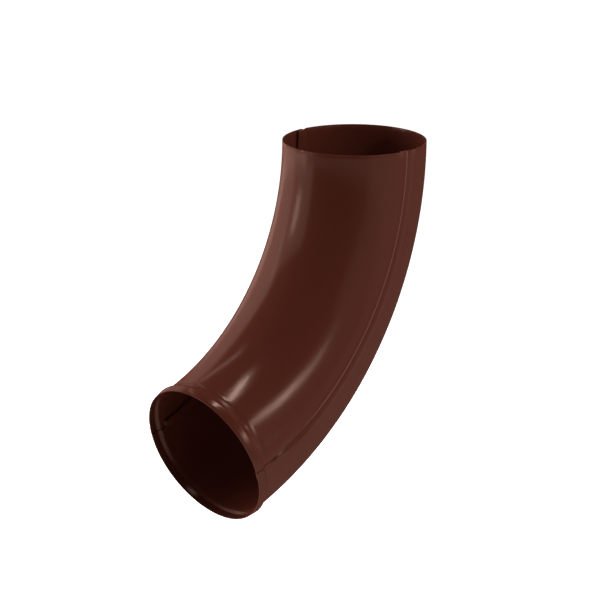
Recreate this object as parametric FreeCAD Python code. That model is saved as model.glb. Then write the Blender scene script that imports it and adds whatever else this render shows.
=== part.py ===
import FreeCAD, Part
import math
import os

# Downspout elbow of painted sheet steel, pressed as two half shells that hook
# together in a folded seam along each side, with a raised collar at the outlet.
# Millimetres. The origin is the centre of the inlet, +Z points up out of it,
# and the bend lies in the YZ plane, so the outlet looks forward (-Y) and down.

# Driving dimensions
pipe_diameter = 100.0        # outside of the plain tube
sheet = 0.6                  # thickness of the painted sheet
bend_angle = 72.0            # from straight down to the outlet's direction
bend_radius = 200.0          # of the tube's centre line

# Collar at the outlet
collar_length = 9.5          # straight end that carries the raised band
riser_foot = 1.3             # from the collar's upper end to the foot of the sloping riser
riser_length = 2.3           # along the tube, from that foot to the band
collar_rise = 1.8            # height of the band over the tube
lip_drop = 0.8               # how far the band leans back in at the rim
riser_foot_radius = 2.2      # rounding where the tube turns up into the riser
band_edge_radius = 1.3       # rounding between the riser and the band

# Folded seam, measured round the tube's outside from the parting plane
seam_offset = -1.0           # fold edge of the throat half, towards the throat
fold_play = 0.05             # gap between neighbouring layers of the fold
hem_width = 3.8              # flat part of the throat half's hem
hem_end_play = 0.3           # gap between each hem's cut edge and the fold it enters
ramp_width = 4.7             # strip of the heel half that climbs out of the seam
ramp_foot = 0.1              # from the fold edge to the foot of that strip
ramp_foot_radius = 0.9
ramp_top_radius = 1.4

# Lower end of the seam, measured along the tube from the collar's upper end
ramp_taper_start = 36.5      # the strip starts to narrow
hook_end = 2.5               # the hems stop and the two sheets only lap
ramp_end_width = 1.7         # the strip's width where it stops
flange_start = 1.5           # the throat half's flange runs from here to the rim
lap_gap = 0.5                # open joint between the two sheets on the outside
flange_width = 5.0           # how far the flange reaches behind the heel half
taper_sections = 5           # cross-sections that shape the narrowing strip

# Values worked out from the dimensions above
outer_radius = pipe_diameter / 2
layer_pitch = sheet + fold_play
hem_outer_radius = outer_radius - 2 * layer_pitch - sheet
hook_outer_radius = outer_radius - 3 * layer_pitch
fold_radius = (outer_radius - hem_outer_radius) / 2
bend_centre = FreeCAD.Vector(0, -bend_radius, 0)
bend_axis = FreeCAD.Vector(-1, 0, 0)
drawing_normal = FreeCAD.Vector(0, 0, 1)
drawing_up = FreeCAD.Vector(0, 1, 0)
origin = FreeCAD.Vector(0, 0, 0)


def arc_degrees(length):
    """Angle at the tube's centre of a length round its outside."""
    return math.degrees(length / outer_radius)


fold_edge = 90.0 + arc_degrees(seam_offset)


def seam_angle(length):
    """Angle from the throat line to a place beside the fold edge."""
    return fold_edge + arc_degrees(length)


def bend_degrees(from_collar):
    """Angle along the bend of a place at a distance from the collar's upper end."""
    return bend_angle - math.degrees(from_collar / bend_radius)


def on_section(radius, angle):
    """Point of the inlet's plane, its angle counted from the throat line."""
    turn = math.radians(angle)
    return FreeCAD.Vector(radius * math.sin(turn), -radius * math.cos(turn), 0)


def arc(first, middle, last):
    return Part.Arc(first, middle, last).toShape()


def line(first, last):
    return Part.LineSegment(first, last).toShape()


def ring_arc(radius, start, end):
    """Arc round the tube's centre."""
    return arc(on_section(radius, start), on_section(radius, (start + end) / 2), on_section(radius, end))


def fold_arc(radius_from, radius_to, angle, bulge):
    """Half turn of a sheet's edge, bulging to larger (1) or smaller (-1) angles."""
    middle = on_section((radius_from + radius_to) / 2, angle)
    reach = abs(radius_from - radius_to) / 2 * bulge
    across = on_section(1, angle + 90)
    return arc(on_section(radius_from, angle), middle + across * reach, on_section(radius_to, angle))


def shifted(path, distance):
    """The edges of a smooth path, moved to its left."""
    edges = []
    for edge in path:
        ends = edge.ParameterRange
        points = []
        for parameter in (ends[0], (ends[0] + ends[1]) / 2, ends[1]):
            left = drawing_normal.cross(edge.tangentAt(parameter))
            points.append(edge.valueAt(parameter) + left * distance)
        straight = isinstance(edge.Curve, Part.Line)
        edges.append(line(points[0], points[2]) if straight else arc(*points))
    return edges


def sheet_face(path, inset=0, depth=sheet):
    """Section of a sheet, whose outer surface lies at an inset to the left of a path."""
    outer = shifted(path, inset)
    inner = shifted(path, inset + depth)
    first_cap = line(inner[0].valueAt(inner[0].FirstParameter), outer[0].valueAt(outer[0].FirstParameter))
    last_cap = line(outer[-1].valueAt(outer[-1].LastParameter), inner[-1].valueAt(inner[-1].LastParameter))
    return Part.Face(Part.Wire(outer + [last_cap] + inner[::-1] + [first_cap]))


def corner_arc(before, corner, after, radius):
    """Rounding of the corner between two straight lines, with its two ends."""
    towards_before = (before - corner).normalize()
    towards_after = (after - corner).normalize()
    half_turn = (math.pi - towards_before.getAngle(towards_after)) / 2
    reach = radius * math.tan(half_turn)
    first = corner + towards_before * reach
    last = corner + towards_after * reach
    inwards = (towards_before + towards_after).normalize()
    middle = corner + inwards * (radius / math.cos(half_turn) - radius)
    return first, arc(first, middle, last), last


def ring_corner(ring_radius, near, far, radius, outside):
    """Rounding between a ring about the tube's centre and a line that leaves it at near.

    The rounding's centre is outside (1) or inside (-1) the line's outer side.
    """
    along = (far - near).normalize()
    outwards = drawing_normal.cross(along)
    if outwards.dot(near) < 0:
        outwards = outwards * -1
    start = near + outwards * (radius * outside)
    centre_radius = ring_radius + radius * outside
    half_b = start.dot(along)
    root = math.sqrt(half_b ** 2 - start.dot(start) + centre_radius ** 2)
    step = min(-half_b + root, -half_b - root, key=abs)
    centre = start + along * step
    on_line = centre - outwards * (radius * outside)
    on_ring = centre * (ring_radius / centre.Length)
    middle = centre + ((on_line + on_ring) * 0.5 - centre).normalize() * radius
    return on_line, middle, on_ring


def bent(shape, start, end):
    """A section of the inlet's plane, swept round the bend between two angles."""
    placed = shape.copy()
    placed.rotate(bend_centre, bend_axis, start)
    return placed.revolve(bend_centre, bend_axis, end - start)


def joined(pieces):
    return pieces[0].fuse(pieces[1:]).removeSplitter()


def both_sides(half):
    """A half shell from its +X side, mirrored in the plane of the bend."""
    return joined([half, half.mirror(origin, FreeCAD.Vector(1, 0, 0))])


def throat_path():
    """Outer surface of the throat half from its middle: crown, fold and hem."""
    fold_start = seam_angle(-fold_radius)
    return [
        ring_arc(outer_radius, 0, fold_start),
        fold_arc(outer_radius, hem_outer_radius, fold_start, 1),
        ring_arc(hem_outer_radius, fold_start, seam_angle(-fold_radius - hem_width)),
    ]


def heel_path(width):
    """Outer surface of the heel half from its hooked edge: hem, hook, flat, ramp and crown."""
    hem_radius = outer_radius - layer_pitch - sheet
    hem_end = seam_angle(-fold_radius - hem_end_play)
    hook_start = seam_angle(-fold_radius - hem_width - hem_end_play)
    foot = on_section(hook_outer_radius, seam_angle(ramp_foot))
    top = on_section(outer_radius, seam_angle(ramp_foot + width))
    foot_end, foot_middle, foot_start = ring_corner(hook_outer_radius, foot, top, ramp_foot_radius, 1)
    top_start, top_middle, top_end = ring_corner(outer_radius, top, foot, ramp_top_radius, -1)
    flat_end = math.degrees(math.atan2(foot_start.x, -foot_start.y))
    crown_start = math.degrees(math.atan2(top_end.x, -top_end.y))
    return [
        ring_arc(hem_radius, hem_end, hook_start),
        fold_arc(hem_radius, hook_outer_radius, hook_start, -1),
        ring_arc(hook_outer_radius, hook_start, flat_end),
        arc(foot_start, foot_middle, foot_end),
        line(foot_end, top_start),
        arc(top_start, top_middle, top_end),
        ring_arc(outer_radius, crown_start, 180),
    ]


def collar_path():
    """Outer surface of the outlet's straight end, from the rim up, drawn with its axis upright."""
    tube = FreeCAD.Vector(outer_radius, 0, 0)
    foot = FreeCAD.Vector(outer_radius, -riser_foot, 0)
    edge = FreeCAD.Vector(outer_radius + collar_rise, -riser_foot - riser_length, 0)
    rim = FreeCAD.Vector(outer_radius + collar_rise - lip_drop, -collar_length, 0)
    edge_start, edge_arc, edge_end = corner_arc(rim, edge, foot, band_edge_radius)
    foot_start, foot_arc, foot_end = corner_arc(edge, foot, tube, riser_foot_radius)
    return [
        line(rim, edge_start),
        edge_arc,
        line(edge_end, foot_start),
        foot_arc,
        line(foot_end, tube),
    ]


def collar_piece(start, end, inset=0, depth=sheet):
    """Stretch of the collar between two angles round the tube, at the bend's lower end."""
    face = sheet_face(collar_path(), inset, depth)
    face.rotate(origin, drawing_up, start - 90)
    piece = face.revolve(origin, drawing_up, end - start)
    piece.rotate(origin, FreeCAD.Vector(1, 0, 0), 90)
    piece.rotate(bend_centre, bend_axis, bend_angle)
    return piece


def plain_section(start, end, inset=0, depth=sheet):
    """Cross-section of the plain tube wall between two angles."""
    return sheet_face([ring_arc(outer_radius, start, end)], inset, depth)


def lap_strip(start, end, inset, depth):
    """Strip along the seam's lower end, down the bend and on through the collar."""
    section = plain_section(start, end, inset, depth)
    return [
        bent(section, bend_degrees(flange_start), bend_angle),
        collar_piece(start, end, inset, depth),
    ]


def throat_half_shell():
    """Inner half: a hem along each side, and a flange behind the lap at the collar."""
    hook_angle = bend_degrees(hook_end)
    lap_edge = seam_angle(-lap_gap / 2)
    step_start = seam_angle(-lap_gap / 2 - sheet)
    return both_sides(joined([
        bent(sheet_face(throat_path()), 0, hook_angle),
        bent(plain_section(0, lap_edge), hook_angle, bend_angle),
        collar_piece(0, lap_edge),
        *lap_strip(step_start, lap_edge, 0, layer_pitch + sheet),
        *lap_strip(step_start, seam_angle(flange_width), layer_pitch, sheet),
    ]))


def narrowing_hook():
    """The heel half's stretch in which the ramp beside the seam narrows."""
    taper_angle = bend_degrees(ramp_taper_start)
    hook_angle = bend_degrees(hook_end)
    outlines = []
    for step in range(taper_sections):
        share = step / (taper_sections - 1)
        width = ramp_width + (ramp_end_width - ramp_width) * share
        outline = sheet_face(heel_path(width)).OuterWire
        outline.rotate(bend_centre, bend_axis, taper_angle + (hook_angle - taper_angle) * share)
        outlines.append(outline)
    return Part.makeLoft(outlines, True, False)


def heel_half_shell():
    """Outer half: hooked into the hems, and lapped over the flange at the collar."""
    lap_edge = seam_angle(lap_gap / 2)
    return both_sides(joined([
        bent(sheet_face(heel_path(ramp_width)), 0, bend_degrees(ramp_taper_start)),
        narrowing_hook(),
        bent(plain_section(lap_edge, 180), bend_degrees(hook_end), bend_angle),
        collar_piece(lap_edge, 180),
    ]))


os.makedirs("parts", exist_ok=True)
throat_half_shell().exportStep("parts/throat_half_shell.step")
heel_half_shell().exportStep("parts/heel_half_shell.step")
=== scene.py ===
from math import atan2, cos, degrees, pi, radians, sin, sqrt

import bpy
from mathutils import Matrix, Vector


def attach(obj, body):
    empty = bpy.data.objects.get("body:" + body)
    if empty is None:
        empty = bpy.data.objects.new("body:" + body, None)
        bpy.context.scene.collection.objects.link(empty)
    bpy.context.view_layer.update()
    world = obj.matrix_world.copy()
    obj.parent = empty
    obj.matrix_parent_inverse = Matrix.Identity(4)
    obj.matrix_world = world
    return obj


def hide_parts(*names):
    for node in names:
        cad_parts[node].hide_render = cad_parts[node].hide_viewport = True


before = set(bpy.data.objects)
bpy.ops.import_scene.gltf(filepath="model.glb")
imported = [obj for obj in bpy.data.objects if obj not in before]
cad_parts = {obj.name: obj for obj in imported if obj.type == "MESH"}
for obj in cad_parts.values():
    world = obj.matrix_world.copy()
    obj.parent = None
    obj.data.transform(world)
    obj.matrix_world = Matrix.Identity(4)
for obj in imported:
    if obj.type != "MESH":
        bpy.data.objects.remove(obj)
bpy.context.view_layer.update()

# Downspout elbow of brown painted sheet steel: two half shells hooked together
# in a folded seam along each side, with a raised collar at the outlet.
# The inlet's centre is the origin, +Z points up out of it, and the outlet
# looks forward (-Y) and down. Lengths are metres, written as millimetres * mm.

mm = 0.001

# Tube and bend
outer_radius = 50.0 * mm
sheet = 0.6 * mm
bend_angle = 72.0
bend_radius = 200.0 * mm
bend_centre = Vector((0, -bend_radius, 0))

# Collar, its riser measured along the tube from the collar's upper end
collar_length = 9.5 * mm
riser_foot = 1.3 * mm
riser_length = 2.3 * mm
collar_rise = 1.8 * mm
lip_drop = 0.8 * mm
riser_foot_radius = 2.2 * mm
band_edge_radius = 1.3 * mm
band_middle = 0.6  # where on the band an extra ring lies, as a share of its width

# Folded seam, its widths measured round the outside and its ends from the collar
seam_offset = -1.0 * mm
layer_pitch = 0.65 * mm
hem_width = 3.8 * mm
hem_end_play = 0.3 * mm
ramp_width = 4.7 * mm
ramp_end_width = 1.7 * mm
ramp_foot = 0.1 * mm
ramp_foot_radius = 0.9 * mm
ramp_top_radius = 1.4 * mm
ramp_taper_start = 36.5 * mm
hook_end = 2.5 * mm
lift_start = 6.5 * mm
lift_margin = 0.35  # degrees beside the ramp's foot that rise with it
lap_gap = 0.5 * mm
flange_width = 5.0 * mm
joggle_radius = 0.32 * mm

# Radii that follow from the seam's layers
hem_outer_radius = outer_radius - 2 * layer_pitch - sheet
heel_hem_radius = outer_radius - layer_pitch - sheet
hook_outer_radius = outer_radius - 3 * layer_pitch
fold_radius = (outer_radius - hem_outer_radius) / 2
hook_radius = (heel_hem_radius - hook_outer_radius) / 2

# Slight bead that the pressing leaves along the fold's edge. It begins to die out
# bead_end + bead_fade above the collar, and is gone bead_end above it.
bead_height = 0.3 * mm
bead_width = 2.6 * mm
bead_rise = 1.3 * mm
bead_end = 28.0 * mm
bead_fade = 40.0 * mm

# Painted highlight: paler paint along the fold's edge and the ramp's top, standing in for light
# caught there
fold_edge_inset = 0.7 * mm
highlight_reach = 1.0 * mm
fold_highlight = 0.9
ramp_highlight = 0.2

# Fineness of the sheets' meshes
crown_steps = 30
bead_steps = 8
bend_steps = 68
fold_steps = 10
hem_steps = 3
hook_steps = 5
flange_steps = 4
lap_steps = 3
rounding_steps = 5

# Finishing the sheets
cut_edge_bevel = 0.07 * mm
bevel_segments = 2
cut_edge_angle = 60
smooth_angle = 40
inlet_edge_reach = 0.3 * mm
merge_reach = 0.004 * mm
mirror_reach = 0.01 * mm
same_radius = 0.01 * mm
same_degrees = 0.01
heel_side = 88  # degrees from the throat line, beyond which the outside is the heel half's
crown_height = -60 * mm

# Camera
camera_place = (1.00025, -1.09286, 0.33542)
camera_azimuth = 43.915
camera_elevation = 16.958
camera_roll = 0.1125
camera_lens = 131.335
camera_sensor = 36

# Share of the light that the paint's surface mirrors, and its tint
paint_shine = 0.012
shine_tint = (1, 0.7, 0.58, 1)

# Colours of the coating, of the cut edges and of the painted highlight along the seam
brown_shade = (0.083, 0.0185, 0.0108, 1)
brown_light = (0.12, 0.034, 0.022, 1)
brown_roughness = 0.175
edge_shade = (0.11, 0.03, 0.02, 1)
edge_light = (0.2, 0.1, 0.08, 1)
edge_roughness = 0.3
# Colour of the painted highlight along the fold's edge and the ramp's top
highlight_paint = (0.21, 0.08, 0.056, 1)

# Grain of the coating, and how much each size of it changes
speckle_size = 1.0 * mm
peel_size = 3.0 * mm
cloud_size = 45 * mm
cloud_detail = 4.0
speckle_in_colour = 0.1
cloud_in_colour = 0.16
speckle_in_gloss = 0.05
cloud_in_gloss = 0.07
peel_in_height = 0.3
grain_strength = 0.8
grain_height = 0.04 * mm

# Studio
floor_size = 8
floor_height = -0.50
floor_grey = (0.8, 0.8, 0.8, 1)
floor_glow = 1.0
world_level = 0.02
light_target = Vector((0, -0.05, -0.12))
light_distance = 1.3


def seam_angle(length):
    """Degrees from the throat line to a place beside the fold's edge."""
    return 90 + degrees((seam_offset + length) / outer_radius)


def on_section(radius, angle):
    """Point of the inlet's plane, its angle counted from the throat line."""
    return Vector((radius * sin(radians(angle)), -radius * cos(radians(angle)), 0))


def bend_degrees(from_collar):
    """Angle along the bend of a place at a distance from the collar's upper end."""
    return bend_angle - degrees(from_collar / bend_radius)


# Modelling by hand


def deselect_all():
    bpy.ops.object.select_all(action="DESELECT")


def take_up(piece):
    """Makes a piece the only selected one, and the active one."""
    deselect_all()
    piece.select_set(True)
    bpy.context.view_layer.objects.active = piece


def single_point(name, place):
    """A mesh of one selected point, left in edit mode."""
    deselect_all()
    bpy.ops.mesh.primitive_plane_add(size=mm)
    piece = bpy.context.object
    piece.name = name
    piece.data.name = name
    bpy.ops.object.mode_set(mode="EDIT")
    bpy.ops.mesh.merge(type="CENTER")
    bpy.ops.transform.translate(value=place)
    return piece


def swing(centre, turn, steps):
    """Draws the outline on from its selected end, round a centre, counter-clockwise."""
    bpy.ops.mesh.spin(steps=steps, angle=-radians(turn), center=centre, axis=(0, 0, 1))


def swing_to(first, last, centre, steps):
    """Draws a rounding between two points, the short way."""
    start = first - centre
    end = last - centre
    turn = degrees(atan2(start.x * end.y - start.y * end.x, start.dot(end)))
    swing(centre, turn, steps)


def draw_on(move):
    """Draws straight on from the selected end or ring."""
    bpy.ops.mesh.extrude_region_move(TRANSFORM_OT_translate={"value": move})


def ring_corner(ring_radius, near, far, radius, outside):
    """Rounding between a ring about the tube's axis and a line that leaves it at near."""
    along = (far - near).normalized()
    outwards = Vector((-along.y, along.x, 0))
    if outwards.dot(near) < 0:
        outwards = -outwards
    start = near + outwards * radius * outside
    half_b = start.dot(along)
    root = sqrt(half_b ** 2 - start.dot(start) + (ring_radius + radius * outside) ** 2)
    centre = start + along * min(-half_b + root, -half_b - root, key=abs)
    return centre, centre - outwards * radius * outside, centre * (ring_radius / centre.length)


def sweep_round_bend(first, last, steps):
    """Pulls the selected section on round the bend."""
    bpy.ops.mesh.spin(
        steps=steps, angle=radians(last - first), center=bend_centre, axis=(1, 0, 0)
    )


def collar_centre(down):
    """Centre of the tube at a distance down the straight collar."""
    turn = radians(bend_angle)
    end = bend_centre + Vector((0, bend_radius * cos(turn), -bend_radius * sin(turn)))
    return end + outlet_direction() * down


def outlet_direction():
    """Unit vector out of the outlet, along the tube's axis."""
    return Vector((0, -sin(radians(bend_angle)), -cos(radians(bend_angle))))


def rounded_corner(before, corner, after, radius, steps):
    """Points of a rounded corner of the collar's outline."""
    to_before = (before - corner).normalized()
    to_after = (after - corner).normalized()
    half_turn = (pi - to_before.angle(to_after)) / 2
    centre = corner + (to_before + to_after).normalized() * radius / cos(half_turn)
    reach = radius * sin(half_turn) / cos(half_turn)
    start = (corner + to_before * reach - centre).normalized()
    end = (corner + to_after * reach - centre).normalized()
    return [centre + start.slerp(end, step / steps) * radius for step in range(steps + 1)]


def collar_outline():
    """The collar's outer radius and how far down it lies, from the tube to the rim."""
    tube = Vector((outer_radius, 0))
    foot = Vector((outer_radius, riser_foot))
    edge = Vector((outer_radius + collar_rise, riser_foot + riser_length))
    rim = Vector((outer_radius + collar_rise - lip_drop, collar_length))
    return (
        rounded_corner(tube, foot, edge, riser_foot_radius, rounding_steps)
        + rounded_corner(foot, edge, rim, band_edge_radius, rounding_steps)
        + [edge.lerp(rim, band_middle), rim]
    )


def draw_collar():
    """Pulls the selected ring down the collar's outline, widening it on the way."""
    radius = outer_radius
    down = 0
    for place in collar_outline():
        draw_on(outlet_direction() * (place.y - down))
        grow = place.x / radius
        bpy.ops.transform.resize(
            value=(grow, grow, grow), center_override=collar_centre(place.y)
        )
        radius, down = place


def tube_place(point):
    """Radius, angle from the throat line and angle along the bend of a point on the bend."""
    along = degrees(atan2(-point.z, point.y + bend_radius))
    out = sqrt((point.y + bend_radius) ** 2 + point.z ** 2) - bend_radius
    return sqrt(point.x ** 2 + out ** 2), degrees(atan2(abs(point.x), -out)), along


def tube_point(radius, angle, along):
    """The point of the bend at a radius, an angle from the throat line and one along it."""
    out = bend_radius - radius * cos(radians(angle))
    turn = radians(along)
    return Vector((radius * sin(radians(angle)), out * cos(turn) - bend_radius, -out * sin(turn)))


def select_points(piece, wanted):
    """In edit mode, selects the points for which wanted(point) is true."""
    bpy.ops.mesh.select_all(action="DESELECT")
    bpy.ops.object.mode_set(mode="OBJECT")
    for vertex in piece.data.vertices:
        vertex.select = wanted(vertex.co)
    bpy.ops.object.mode_set(mode="EDIT")


def smooth_step(value):
    """Eases from 0 to 1 while the value goes from 0 to 1."""
    value = min(max(value, 0), 1)
    return value * value * (3 - 2 * value)


# Throat half shell


def throat_bend():
    """The throat half's sheet along the bend: crown, fold and hem, on its +X side."""
    fold_start = seam_angle(-fold_radius)
    fold_centre = on_section(outer_radius - fold_radius, fold_start)
    bead_start = seam_angle(-fold_radius - bead_width)
    piece = single_point("throat_half", on_section(outer_radius, 0))
    swing((0, 0, 0), bead_start, crown_steps)
    swing((0, 0, 0), fold_start - bead_start, bead_steps)
    swing(fold_centre, 180, fold_steps)
    swing((0, 0, 0), -degrees(hem_width / outer_radius), hem_steps)
    bpy.ops.mesh.select_all(action="SELECT")
    sweep_round_bend(0, bend_degrees(hook_end), bend_steps)
    bpy.ops.object.mode_set(mode="OBJECT")
    raise_bead(piece, bead_start)
    return piece


def bead_share(along):
    """How much of the bead is left at an angle along the bend."""
    from_collar = radians(bend_angle - along) * bend_radius
    return smooth_step((from_collar - bead_end) / bead_fade)


def raise_bead(piece, bead_start):
    """Lifts the fold's outer layer a little, and less and less towards the collar."""
    for vertex in piece.data.vertices:
        radius, angle, along = tube_place(vertex.co)
        from_start = radians(angle - bead_start) * outer_radius
        outwards = (radius - hem_outer_radius) / (outer_radius - hem_outer_radius)
        outwards = min(max(outwards, 0), 1)
        rise = smooth_step(from_start / bead_rise) * bead_share(along)
        vertex.co = tube_point(radius + bead_height * rise * outwards, angle, along)


def throat_lap():
    """The same half through the collar: crown, a step down and a flange behind the heel half."""
    fold_start = seam_angle(-fold_radius)
    step_edge = seam_angle(-lap_gap / 2)
    flange_radius = outer_radius - layer_pitch
    drop = layer_pitch - 2 * joggle_radius
    turn_in = degrees(joggle_radius / outer_radius)
    start = bend_degrees(hook_end)
    piece = single_point("throat_lap", on_section(outer_radius, 0))
    swing((0, 0, 0), fold_start, crown_steps)
    swing((0, 0, 0), step_edge - turn_in - fold_start, 1)
    upper_centre = on_section(outer_radius - joggle_radius, step_edge - turn_in)
    swing(upper_centre, 90, rounding_steps)
    draw_on(on_section(1, step_edge - turn_in) * -drop)
    lower_centre = on_section(flange_radius + joggle_radius, step_edge + turn_in)
    swing(lower_centre, -90, rounding_steps)
    swing((0, 0, 0), seam_angle(flange_width) - step_edge - turn_in, flange_steps)
    bpy.ops.mesh.select_all(action="SELECT")
    bpy.ops.transform.rotate(
        value=radians(start), orient_axis="X", center_override=bend_centre
    )
    sweep_round_bend(start, bend_angle, lap_steps)
    draw_collar()
    bpy.ops.object.mode_set(mode="OBJECT")
    return piece


# Heel half shell


def heel_bend(name, width):
    """The heel half's sheet along the bend, with a ramp of the given width beside its hook."""
    hem_end = seam_angle(-fold_radius - hem_end_play)
    hook_start = seam_angle(-fold_radius - hem_width - hem_end_play)
    foot = on_section(hook_outer_radius, seam_angle(ramp_foot))
    top = on_section(outer_radius, seam_angle(ramp_foot + width))
    foot_centre, foot_end, foot_start = ring_corner(
        hook_outer_radius, foot, top, ramp_foot_radius, 1
    )
    top_centre, top_start, top_end = ring_corner(
        outer_radius, top, foot, ramp_top_radius, -1
    )
    crown_start = degrees(atan2(top_end.x, -top_end.y))
    flat_end = degrees(atan2(foot_start.x, -foot_start.y))
    piece = single_point(name, on_section(outer_radius, 180))
    swing((0, 0, 0), crown_start - 180, crown_steps)
    swing_to(top_end, top_start, top_centre, rounding_steps)
    draw_on(foot_end - top_start)
    swing_to(foot_end, foot_start, foot_centre, rounding_steps)
    swing((0, 0, 0), hook_start - flat_end, hook_steps)
    swing(on_section(hook_outer_radius + hook_radius, hook_start), 180, fold_steps)
    swing((0, 0, 0), hem_end - hook_start, hem_steps)
    bpy.ops.mesh.select_all(action="SELECT")
    sweep_round_bend(0, bend_degrees(hook_end), bend_steps)
    bpy.ops.object.mode_set(mode="OBJECT")
    return piece


def narrow_ramp(wide, narrow):
    """Lets the wide ramp run into the narrow one, and lifts its end to the lap."""
    taper_start = bend_degrees(ramp_taper_start)
    taper_end = bend_degrees(hook_end)
    lift_from = bend_degrees(lift_start)
    lap_edge = seam_angle(lap_gap / 2)
    foot = seam_angle(ramp_foot)
    for vertex, target in zip(wide.data.vertices, narrow.data.vertices):
        along = tube_place(vertex.co)[2]
        share = smooth_step((along - taper_start) / (taper_end - taper_start))
        vertex.co = vertex.co.lerp(target.co, share)
        radius, angle, along = tube_place(vertex.co)
        if along > lift_from and angle > foot - lift_margin:
            lift = smooth_step((along - lift_from) / (taper_end - lift_from))
            radius += (outer_radius - radius) * lift
            angle = max(angle, foot + (lap_edge - foot) * lift)
            vertex.co = tube_point(radius, angle, along)
    bpy.data.objects.remove(narrow)


def extend_heel(piece):
    """Carries the heel half's outside on through the collar, as the lap's upper sheet."""
    end = bend_degrees(hook_end)

    def on_last_section(point):
        radius, angle, along = tube_place(point)
        on_outside = radius > outer_radius - same_radius
        return abs(along - end) < same_degrees and on_outside and angle > heel_side

    take_up(piece)
    bpy.ops.object.mode_set(mode="EDIT")
    bpy.ops.mesh.select_mode(type="VERT")
    select_points(piece, on_last_section)
    sweep_round_bend(end, bend_angle, lap_steps)
    draw_collar()
    bpy.ops.object.mode_set(mode="OBJECT")


# Finishing a sheet


def apply_modifier(piece, kind, **settings):
    """Adds a modifier to a piece, sets it up and applies it."""
    take_up(piece)
    modifier = piece.modifiers.new(kind.title(), kind)
    for name, value in settings.items():
        setattr(modifier, name, value)
    bpy.ops.object.modifier_apply(modifier=modifier.name)


def point_outwards(piece):
    """Turns the sheet's faces so that its crown looks away from the tube's axis."""

    def from_crown(face):
        return abs(face.center.x) + abs(face.center.z - crown_height)

    bpy.ops.object.mode_set(mode="EDIT")
    bpy.ops.mesh.select_all(action="SELECT")
    bpy.ops.mesh.remove_doubles(threshold=merge_reach)
    bpy.ops.mesh.normals_make_consistent(inside=False)
    bpy.ops.object.mode_set(mode="OBJECT")
    crown = min(piece.data.polygons, key=from_crown)
    along = tube_place(crown.center)[2]
    axis_point = tube_point(0, 0, along)
    if crown.normal.dot(crown.center - axis_point) < 0:
        bpy.ops.object.mode_set(mode="EDIT")
        bpy.ops.mesh.select_all(action="SELECT")
        bpy.ops.mesh.flip_normals()
        bpy.ops.object.mode_set(mode="OBJECT")


def flatten_inlet(piece):
    """Brings the sheet's edge at the inlet into one plane."""
    bpy.ops.object.mode_set(mode="EDIT")
    bpy.ops.mesh.select_mode(type="VERT")
    select_points(piece, lambda point: point.z > -inlet_edge_reach)
    bpy.ops.transform.resize(value=(1, 1, 0), center_override=(0, 0, 0))
    bpy.ops.object.mode_set(mode="OBJECT")


def mark_painted_highlights(piece):
    """Notes how much painted highlight each place takes, along the fold's edge and the top of the
    ramp.
    """
    seam_highlight = piece.data.attributes.new("seam_highlight", "FLOAT", "POINT")
    for vertex in piece.data.vertices:
        radius, angle, along = tube_place(vertex.co)
        from_edge = radians(abs(angle) - seam_angle(0)) * outer_radius
        fold = 1 - abs(from_edge + fold_edge_inset) / highlight_reach
        ramp = ramp_highlight * (1 - abs(from_edge - ramp_width) / highlight_reach)
        outside = smooth_step((radius - outer_radius + sheet) / sheet)
        # This share is a painted highlight: paler paint where the edges would catch light
        highlight_share = fold_highlight * max(fold, ramp, 0) * outside * bead_share(along)
        seam_highlight.data[vertex.index].value = highlight_share


def finish_sheet(piece, node, finish, edge_finish):
    """Mirrors one side to a whole half shell and gives it the sheet's thickness."""
    apply_modifier(
        piece, "MIRROR", use_axis=(True, False, False), merge_threshold=mirror_reach
    )
    point_outwards(piece)
    piece.data.materials.append(finish)
    piece.data.materials.append(edge_finish)
    apply_modifier(
        piece, "SOLIDIFY", thickness=sheet, offset=-1,
        use_even_offset=True, material_offset_rim=1,
    )
    flatten_inlet(piece)
    apply_modifier(
        piece, "BEVEL", width=cut_edge_bevel, segments=bevel_segments, limit_method="ANGLE",
        angle_limit=radians(cut_edge_angle), use_clamp_overlap=True, loop_slide=False,
    )
    mark_painted_highlights(piece)
    bpy.ops.object.shade_smooth_by_angle(angle=radians(smooth_angle))
    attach(piece, "root")
    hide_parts(node)


def join(pieces):
    """Makes the pieces one, under the first one's name."""
    deselect_all()
    for piece in pieces:
        piece.select_set(True)
    bpy.context.view_layer.objects.active = pieces[0]
    bpy.ops.object.join()
    return pieces[0]


# Finishes


class Wire:
    """One output in a material's nodes. A sum or product with it adds a Math node."""

    def __init__(self, tree, socket):
        self.tree = tree
        self.socket = socket

    @classmethod
    def node(cls, tree, kind, inputs=None, output=0, **settings):
        """Adds any node, sets it up, then fills or links its sockets."""
        made = tree.nodes.new(kind)
        for name, value in settings.items():
            setattr(made, name, value)
        for name, value in (inputs or {}).items():
            if isinstance(value, Wire):
                tree.links.new(value.socket, made.inputs[name])
            else:
                made.inputs[name].default_value = value
        return cls(tree, made.outputs[output] if made.outputs else None)

    def maths(self, operation, first, second):
        return Wire.node(
            self.tree, "ShaderNodeMath", {0: first, 1: second}, operation=operation
        )

    def __add__(self, other):
        return self.maths("ADD", self, other)

    def __radd__(self, other):
        return self.maths("ADD", other, self)

    def __rmul__(self, other):
        return self.maths("MULTIPLY", other, self)


def new_finish(name):
    """An empty material and its node tree."""
    finish = bpy.data.materials.new(name)
    finish.use_nodes = True
    finish.node_tree.nodes.clear()
    return finish, finish.node_tree


def grain(tree, place, size, detail=2.0):
    """Cloudy noise whose spots are about the given size."""
    return Wire.node(
        tree, "ShaderNodeTexNoise", {"Vector": place, "Scale": 1 / size, "Detail": detail}
    )


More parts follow.
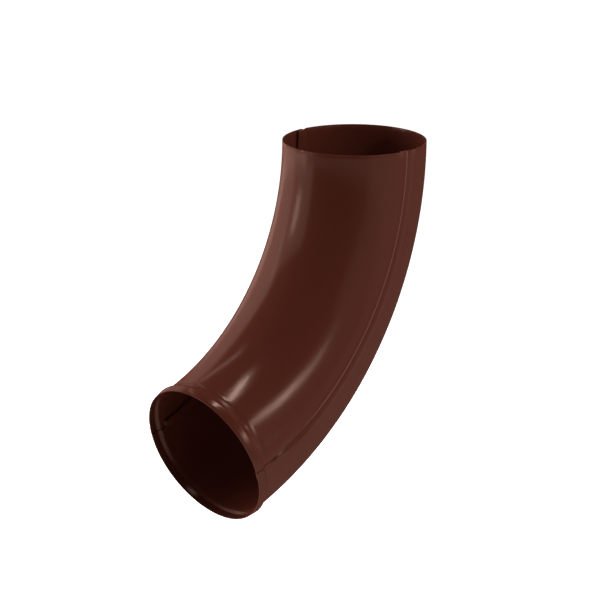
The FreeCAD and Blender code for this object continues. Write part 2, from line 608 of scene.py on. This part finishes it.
def paint_nodes(tree, shade, light_shade, roughness):
    """Satin coating on sheet steel: fine speckle, slight orange peel and paler seam edges that
    are a painted highlight.

    A grain's mean is one half, so the roughness that is given is the coating's mean.
    """
    place = Wire.node(tree, "ShaderNodeTexCoord", output="Object")
    speckle = grain(tree, place, speckle_size)
    peel = grain(tree, place, peel_size)
    cloud = grain(tree, place, cloud_size, cloud_detail)
    # The colour mixed in by the seam attribute is a painted highlight along the fold's edge and
    # the ramp's top
    seam_highlight = Wire.node(tree, "ShaderNodeAttribute", output="Fac", attribute_name="seam_highlight")
    pale = cloud_in_colour * cloud + speckle_in_colour * speckle
    mottled = mix_colours(tree, pale, shade, light_shade)
    colour = mix_colours(tree, seam_highlight, mottled, highlight_paint)
    height = speckle + peel_in_height * peel
    bump = Wire.node(
        tree, "ShaderNodeBump",
        {"Height": height, "Strength": grain_strength, "Distance": grain_height},
    )
    lowest = roughness - (cloud_in_gloss + speckle_in_gloss) / 2
    gloss = lowest + cloud_in_gloss * cloud + speckle_in_gloss * speckle
    return colour, gloss, bump


def mix_colours(tree, factor, first, second):
    """Colour between two, by a factor. The node's colours are its inputs 6 and 7."""
    return Wire.node(
        tree, "ShaderNodeMix", {0: factor, 6: first, 7: second}, output=2, data_type="RGBA"
    )


def painted_sheet(name, shade, light_shade, roughness):
    """Coloured coating with a small, even share of mirrored light over it."""
    finish, tree = new_finish(name)
    colour, gloss, bump = paint_nodes(tree, shade, light_shade, roughness)
    coat = Wire.node(
        tree, "ShaderNodeBsdfPrincipled",
        {"Base Color": colour, "Roughness": gloss, "Normal": bump, "Specular IOR Level": 0.0},
    )
    shine = Wire.node(
        tree, "ShaderNodeBsdfPrincipled",
        {"Base Color": shine_tint, "Metallic": 1.0, "Roughness": gloss, "Normal": bump},
    )
    surface = Wire.node(tree, "ShaderNodeMixShader", {0: paint_shine, 1: coat, 2: shine})
    Wire.node(tree, "ShaderNodeOutputMaterial", {"Surface": surface})
    return finish


# Studio


def floor_white():
    """Matt white that glows as well to the eye and in reflections, so that it shows as white."""
    finish, tree = new_finish("floor_white")
    eye = Wire.node(tree, "ShaderNodeLightPath", output="Is Camera Ray")
    gloss = Wire.node(tree, "ShaderNodeLightPath", output="Is Glossy Ray")
    glass = Wire.node(tree, "ShaderNodeLightPath", output="Is Transmission Ray")
    matt = Wire.node(tree, "ShaderNodeBsdfDiffuse", {"Color": floor_grey})
    glow = Wire.node(tree, "ShaderNodeEmission", {"Strength": floor_glow})
    both = Wire.node(tree, "ShaderNodeAddShader", {0: matt, 1: glow})
    seen = Wire.node(tree, "ShaderNodeMixShader", {0: eye + gloss + glass, 1: matt, 2: both})
    Wire.node(tree, "ShaderNodeOutputMaterial", {"Surface": seen})
    return finish


def make_floor():
    deselect_all()
    bpy.ops.mesh.primitive_plane_add(size=floor_size, location=(0, 0, floor_height))
    floor = bpy.context.object
    floor.name = "studio_floor"
    floor.data.materials.append(floor_white())


def make_world():
    """Even, faint grey round the studio."""
    world = bpy.data.worlds.new("studio")
    bpy.context.scene.world = world
    world.use_nodes = True
    tree = world.node_tree
    tree.nodes.clear()
    grey = Wire.node(
        tree, "ShaderNodeBackground", {"Color": (1, 1, 1, 1), "Strength": world_level}
    )
    Wire.node(tree, "ShaderNodeOutputWorld", {"Surface": grey})


def softbox(name, azimuth, elevation, width, height, turn, level):
    """Panel of light round the object. Azimuth counts from the front to the right.

    The width and height are the panel's size in shares of its distance, and the level is
    how bright its face is, where 1 is a white background.
    """
    lamp = bpy.data.lights.new(name, "AREA")
    lamp.shape = "RECTANGLE"
    lamp.size = width * light_distance
    lamp.size_y = height * light_distance
    lamp.energy = level * pi * lamp.size * lamp.size_y
    holder = bpy.data.objects.new(name, lamp)
    bpy.context.scene.collection.objects.link(holder)
    holder.matrix_world = (
        Matrix.Translation(light_target)
        @ Matrix.Rotation(radians(azimuth), 4, "Z")
        @ Matrix.Rotation(radians(90 - elevation), 4, "X")
        @ Matrix.Translation((0, 0, light_distance))
        @ Matrix.Rotation(radians(turn), 4, "Z")
    )


def make_lights():
    """Panels named for their side: small, bright boxes and strips, and wide, faint walls."""
    softbox("overhead_box", 99, 82.5, 0.09, 0.25, 45, 38)
    softbox("overhead_strip", 152, 67, 0.16, 1.12, 9, 5.5)
    softbox("right_box", 102, 31, 0.12, 0.26, -40, 17)
    softbox("right_low_box", 97, 23, 0.12, 0.24, -30, 9.7)
    softbox("right_wall", 90, 8, 0.8, 0.5, 0, 0.7)
    softbox("back_right_wall", 135, 10, 0.7, 0.5, 0, 2.2)
    softbox("back_left_box", 253, -6, 0.31, 0.4, 0, 6.5)
    softbox("left_wall", 271, 15, 0.95, 0.8, 0, 4.4)
    softbox("left_high_strip", 267, 50, 0.04, 0.55, -48, 9)
    softbox("front_left_wall", 315, 12, 0.8, 0.6, 0, 2.1)
    softbox("left_strip", 313, 12, 0.14, 0.22, 12, 10.5)
    softbox("left_low", 290, -12, 1.2, 0.25, 0, 4.6)


def make_camera():
    """Camera at the photograph's place, angle and focal length."""
    data = bpy.data.cameras.new("camera")
    data.lens = camera_lens
    data.sensor_width = camera_sensor
    camera = bpy.data.objects.new("camera", data)
    bpy.context.scene.collection.objects.link(camera)
    camera.matrix_world = (
        Matrix.Translation(camera_place)
        @ Matrix.Rotation(radians(camera_azimuth), 4, "Z")
        @ Matrix.Rotation(radians(90 - camera_elevation), 4, "X")
        @ Matrix.Rotation(radians(camera_roll), 4, "Z")
    )
    bpy.context.scene.camera = camera


def make_elbow():
    """Both half shells, coated brown, with paler cut edges."""
    brown = painted_sheet("brown_coating", brown_shade, brown_light, brown_roughness)
    cut_edge = painted_sheet("cut_edge", edge_shade, edge_light, edge_roughness)
    throat = join([throat_bend(), throat_lap()])
    finish_sheet(throat, "throat_half_shell", brown, cut_edge)
    heel = heel_bend("heel_half", ramp_width)
    narrow_ramp(heel, heel_bend("narrow_heel", ramp_end_width))
    extend_heel(heel)
    finish_sheet(heel, "heel_half_shell", brown, cut_edge)


make_elbow()
make_floor()
make_world()
make_lights()
make_camera()
bpy.context.scene.view_settings.view_transform = "Standard"
